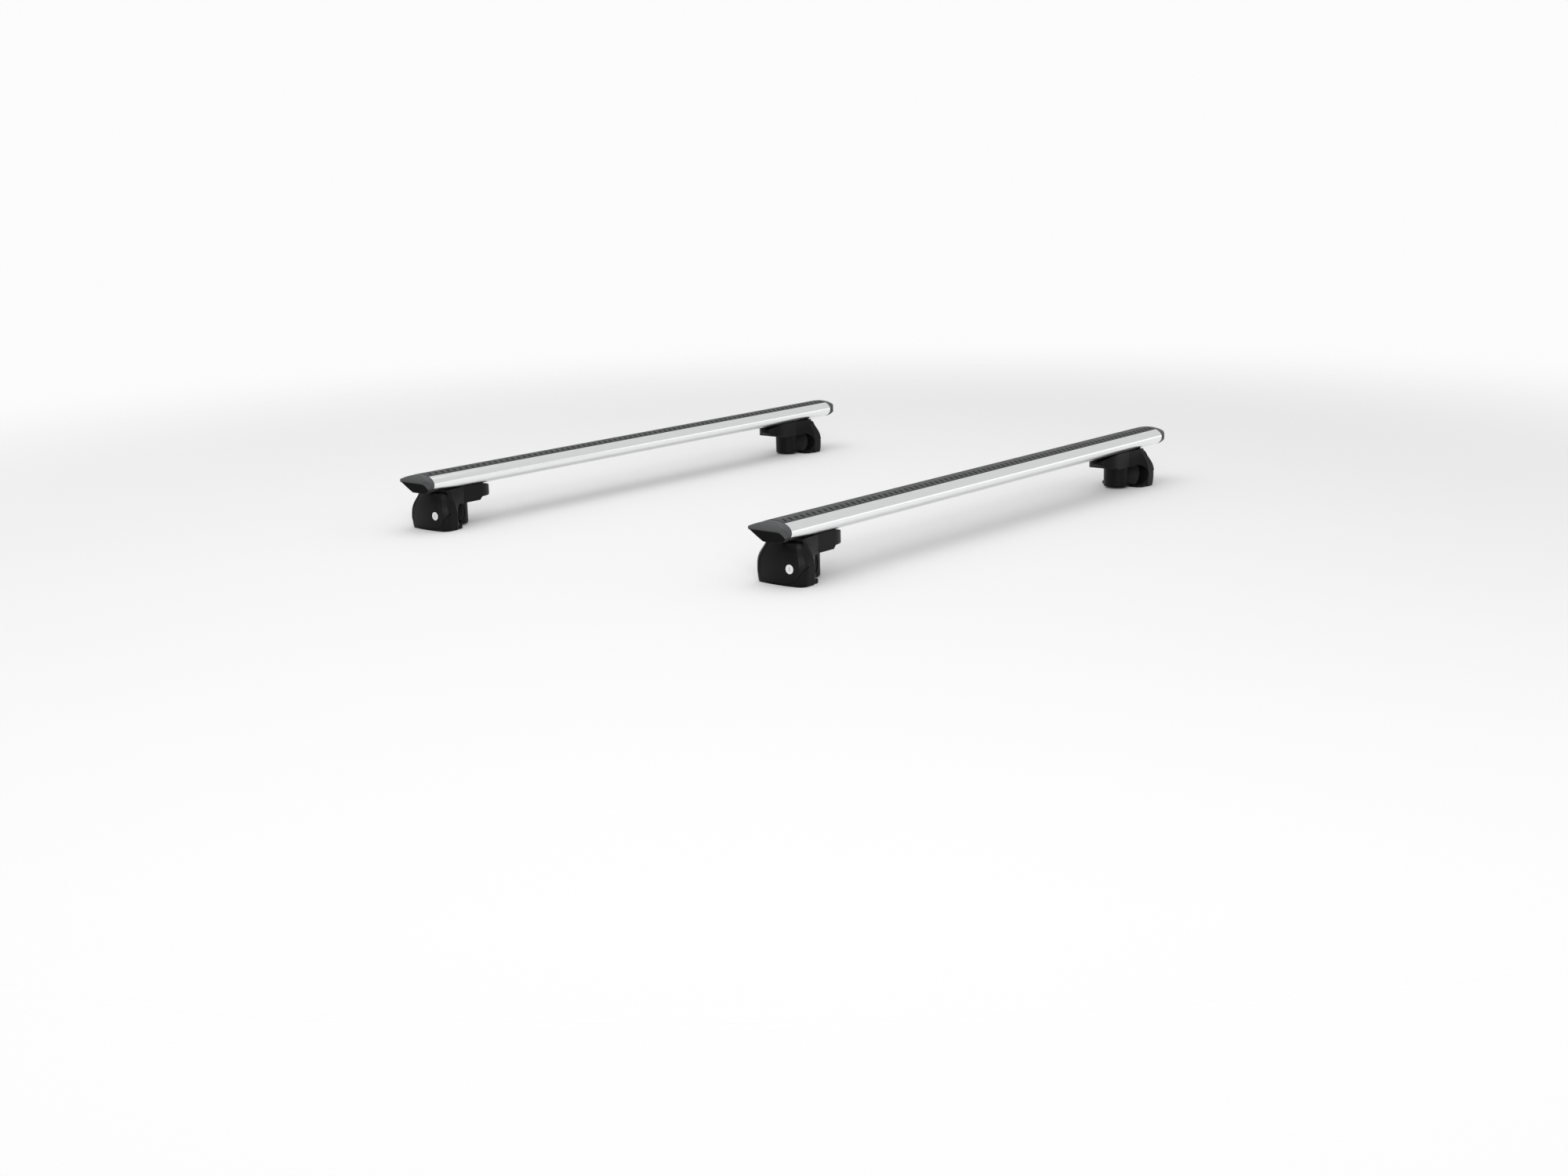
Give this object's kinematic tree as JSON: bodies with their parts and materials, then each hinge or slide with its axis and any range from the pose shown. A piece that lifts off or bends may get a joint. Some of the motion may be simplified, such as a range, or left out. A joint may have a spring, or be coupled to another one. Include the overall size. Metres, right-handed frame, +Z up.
{
  "type": "roof cross bars",
  "caption": "Pair of wing-section aluminium roof bars with rubber top strips, on clamp feet that grip round roof rails behind lockable covers.",
  "frame": {"origin": "on the floor under the feet, midway between the bars and between the outer ends of their caps", "axes": "+X along the bars towards the left-hand feet, -Y the leading side, +Z up"},
  "size_m": [1.27, 0.9982, 0.1128],
  "materials": {
    "anodised_aluminium": "satin anodised",
    "strip_rubber": "matt ribbed",
    "infill_rubber": "matt",
    "cap_plastic": "satin moulded",
    "foot_plastic": "satin moulded",
    "cover_plastic": "satin moulded",
    "jaw_plastic": "satin moulded",
    "pad_rubber": "matt",
    "steel": "zinc plated",
    "lock_metal": "satin chrome"
  },
  "bodies": {
    "bars_and_feet": {"front_bar": "anodised_aluminium", "front_top_strip": "strip_rubber", "front_lower_strip": "infill_rubber", "front_right_end_cap": "cap_plastic", "front_left_end_cap": "cap_plastic", "front_right_foot_base": "foot_plastic", "front_right_rail_pad": "pad_rubber", "front_right_hinge_pin": "steel", "front_right_bar_slider": "steel", "front_right_bar_bolts": "steel", "front_left_foot_base": "foot_plastic", "front_left_rail_pad": "pad_rubber", "front_left_hinge_pin": "steel", "front_left_bar_slider": "steel", "front_left_bar_bolts": "steel", "rear_bar": "anodised_aluminium", "rear_top_strip": "strip_rubber", "rear_lower_strip": "infill_rubber", "rear_right_end_cap": "cap_plastic", "rear_left_end_cap": "cap_plastic", "rear_right_foot_base": "foot_plastic", "rear_right_rail_pad": "pad_rubber", "rear_right_hinge_pin": "steel", "rear_right_bar_slider": "steel", "rear_right_bar_bolts": "steel", "rear_left_foot_base": "foot_plastic", "rear_left_rail_pad": "pad_rubber", "rear_left_hinge_pin": "steel", "rear_left_bar_slider": "steel", "rear_left_bar_bolts": "steel"},
    "front_right_cover_body": {"front_right_cover": "cover_plastic"},
    "front_right_lock_body": {"front_right_lock_cylinder": "lock_metal", "front_right_lock_cam": "steel"},
    "front_right_screw_body": {"front_right_clamp_screw": "steel"},
    "front_right_jaw_body": {"front_right_clamp_jaw": "jaw_plastic", "front_right_jaw_pad": "pad_rubber", "front_right_jaw_nut": "steel"},
    "front_left_cover_body": {"front_left_cover": "cover_plastic"},
    "front_left_lock_body": {"front_left_lock_cylinder": "lock_metal", "front_left_lock_cam": "steel"},
    "front_left_screw_body": {"front_left_clamp_screw": "steel"},
    "front_left_jaw_body": {"front_left_clamp_jaw": "jaw_plastic", "front_left_jaw_pad": "pad_rubber", "front_left_jaw_nut": "steel"},
    "rear_right_cover_body": {"rear_right_cover": "cover_plastic"},
    "rear_right_lock_body": {"rear_right_lock_cylinder": "lock_metal", "rear_right_lock_cam": "steel"},
    "rear_right_screw_body": {"rear_right_clamp_screw": "steel"},
    "rear_right_jaw_body": {"rear_right_clamp_jaw": "jaw_plastic", "rear_right_jaw_pad": "pad_rubber", "rear_right_jaw_nut": "steel"},
    "rear_left_cover_body": {"rear_left_cover": "cover_plastic"},
    "rear_left_lock_body": {"rear_left_lock_cylinder": "lock_metal", "rear_left_lock_cam": "steel"},
    "rear_left_screw_body": {"rear_left_clamp_screw": "steel"},
    "rear_left_jaw_body": {"rear_left_clamp_jaw": "jaw_plastic", "rear_left_jaw_pad": "pad_rubber", "rear_left_jaw_nut": "steel"}
  },
  "joints": [
    {"name": "front_right_cover_hinge", "type": "hinge", "parent": "bars_and_feet", "child": "front_right_cover_body", "pos_m": [-0.5915, -0.445, 0.064], "axis": [0, 1, 0], "range_deg": [0, 75]},
    {"name": "front_right_lock_turn", "type": "hinge", "parent": "front_right_cover_body", "child": "front_right_lock_body", "pos_m": [-0.6074, -0.471, 0.03], "axis": [1, 0, 0], "range_deg": [0, 90]},
    {"name": "front_right_screw_turn", "type": "hinge", "parent": "bars_and_feet", "child": "front_right_screw_body", "pos_m": [-0.552, -0.445, 0.05525], "axis": [-1, 0, 0], "range_deg": [0, 4320]},
    {"name": "front_right_jaw_slide", "type": "slide", "parent": "bars_and_feet", "child": "front_right_jaw_body", "axis": [1, 0, 0], "range_m": [0, 0.012]},
    {"name": "front_left_cover_hinge", "type": "hinge", "parent": "bars_and_feet", "child": "front_left_cover_body", "pos_m": [0.5555, -0.445, 0.064], "axis": [0, -1, 0], "range_deg": [0, 75]},
    {"name": "front_left_lock_turn", "type": "hinge", "parent": "front_left_cover_body", "child": "front_left_lock_body", "pos_m": [0.5714, -0.419, 0.03], "axis": [-1, 0, 0], "range_deg": [0, 90]},
    {"name": "front_left_screw_turn", "type": "hinge", "parent": "bars_and_feet", "child": "front_left_screw_body", "pos_m": [0.516, -0.445, 0.05525], "axis": [1, 0, 0], "range_deg": [0, 4320]},
    {"name": "front_left_jaw_slide", "type": "slide", "parent": "bars_and_feet", "child": "front_left_jaw_body", "axis": [-1, 0, 0], "range_m": [0, 0.012]},
    {"name": "rear_right_cover_hinge", "type": "hinge", "parent": "bars_and_feet", "child": "rear_right_cover_body", "pos_m": [-0.5915, 0.445, 0.064], "axis": [0, 1, 0], "range_deg": [0, 75]},
    {"name": "rear_right_lock_turn", "type": "hinge", "parent": "rear_right_cover_body", "child": "rear_right_lock_body", "pos_m": [-0.6074, 0.419, 0.03], "axis": [1, 0, 0], "range_deg": [0, 90]},
    {"name": "rear_right_screw_turn", "type": "hinge", "parent": "bars_and_feet", "child": "rear_right_screw_body", "pos_m": [-0.552, 0.445, 0.05525], "axis": [-1, 0, 0], "range_deg": [0, 4320]},
    {"name": "rear_right_jaw_slide", "type": "slide", "parent": "bars_and_feet", "child": "rear_right_jaw_body", "axis": [1, 0, 0], "range_m": [0, 0.012]},
    {"name": "rear_left_cover_hinge", "type": "hinge", "parent": "bars_and_feet", "child": "rear_left_cover_body", "pos_m": [0.5555, 0.445, 0.064], "axis": [0, -1, 0], "range_deg": [0, 75]},
    {"name": "rear_left_lock_turn", "type": "hinge", "parent": "rear_left_cover_body", "child": "rear_left_lock_body", "pos_m": [0.5714, 0.471, 0.03], "axis": [-1, 0, 0], "range_deg": [0, 90]},
    {"name": "rear_left_screw_turn", "type": "hinge", "parent": "bars_and_feet", "child": "rear_left_screw_body", "pos_m": [0.516, 0.445, 0.05525], "axis": [1, 0, 0], "range_deg": [0, 4320]},
    {"name": "rear_left_jaw_slide", "type": "slide", "parent": "bars_and_feet", "child": "rear_left_jaw_body", "axis": [-1, 0, 0], "range_m": [0, 0.012]}
  ],
  "couplings": [
    {"joint": "front_right_screw_turn", "follows": "front_right_jaw_slide", "rad_per_m": 6283.2},
    {"joint": "front_left_screw_turn", "follows": "front_left_jaw_slide", "rad_per_m": 6283.2},
    {"joint": "rear_right_screw_turn", "follows": "rear_right_jaw_slide", "rad_per_m": 6283.2},
    {"joint": "rear_left_screw_turn", "follows": "rear_left_jaw_slide", "rad_per_m": 6283.2}
  ]
}
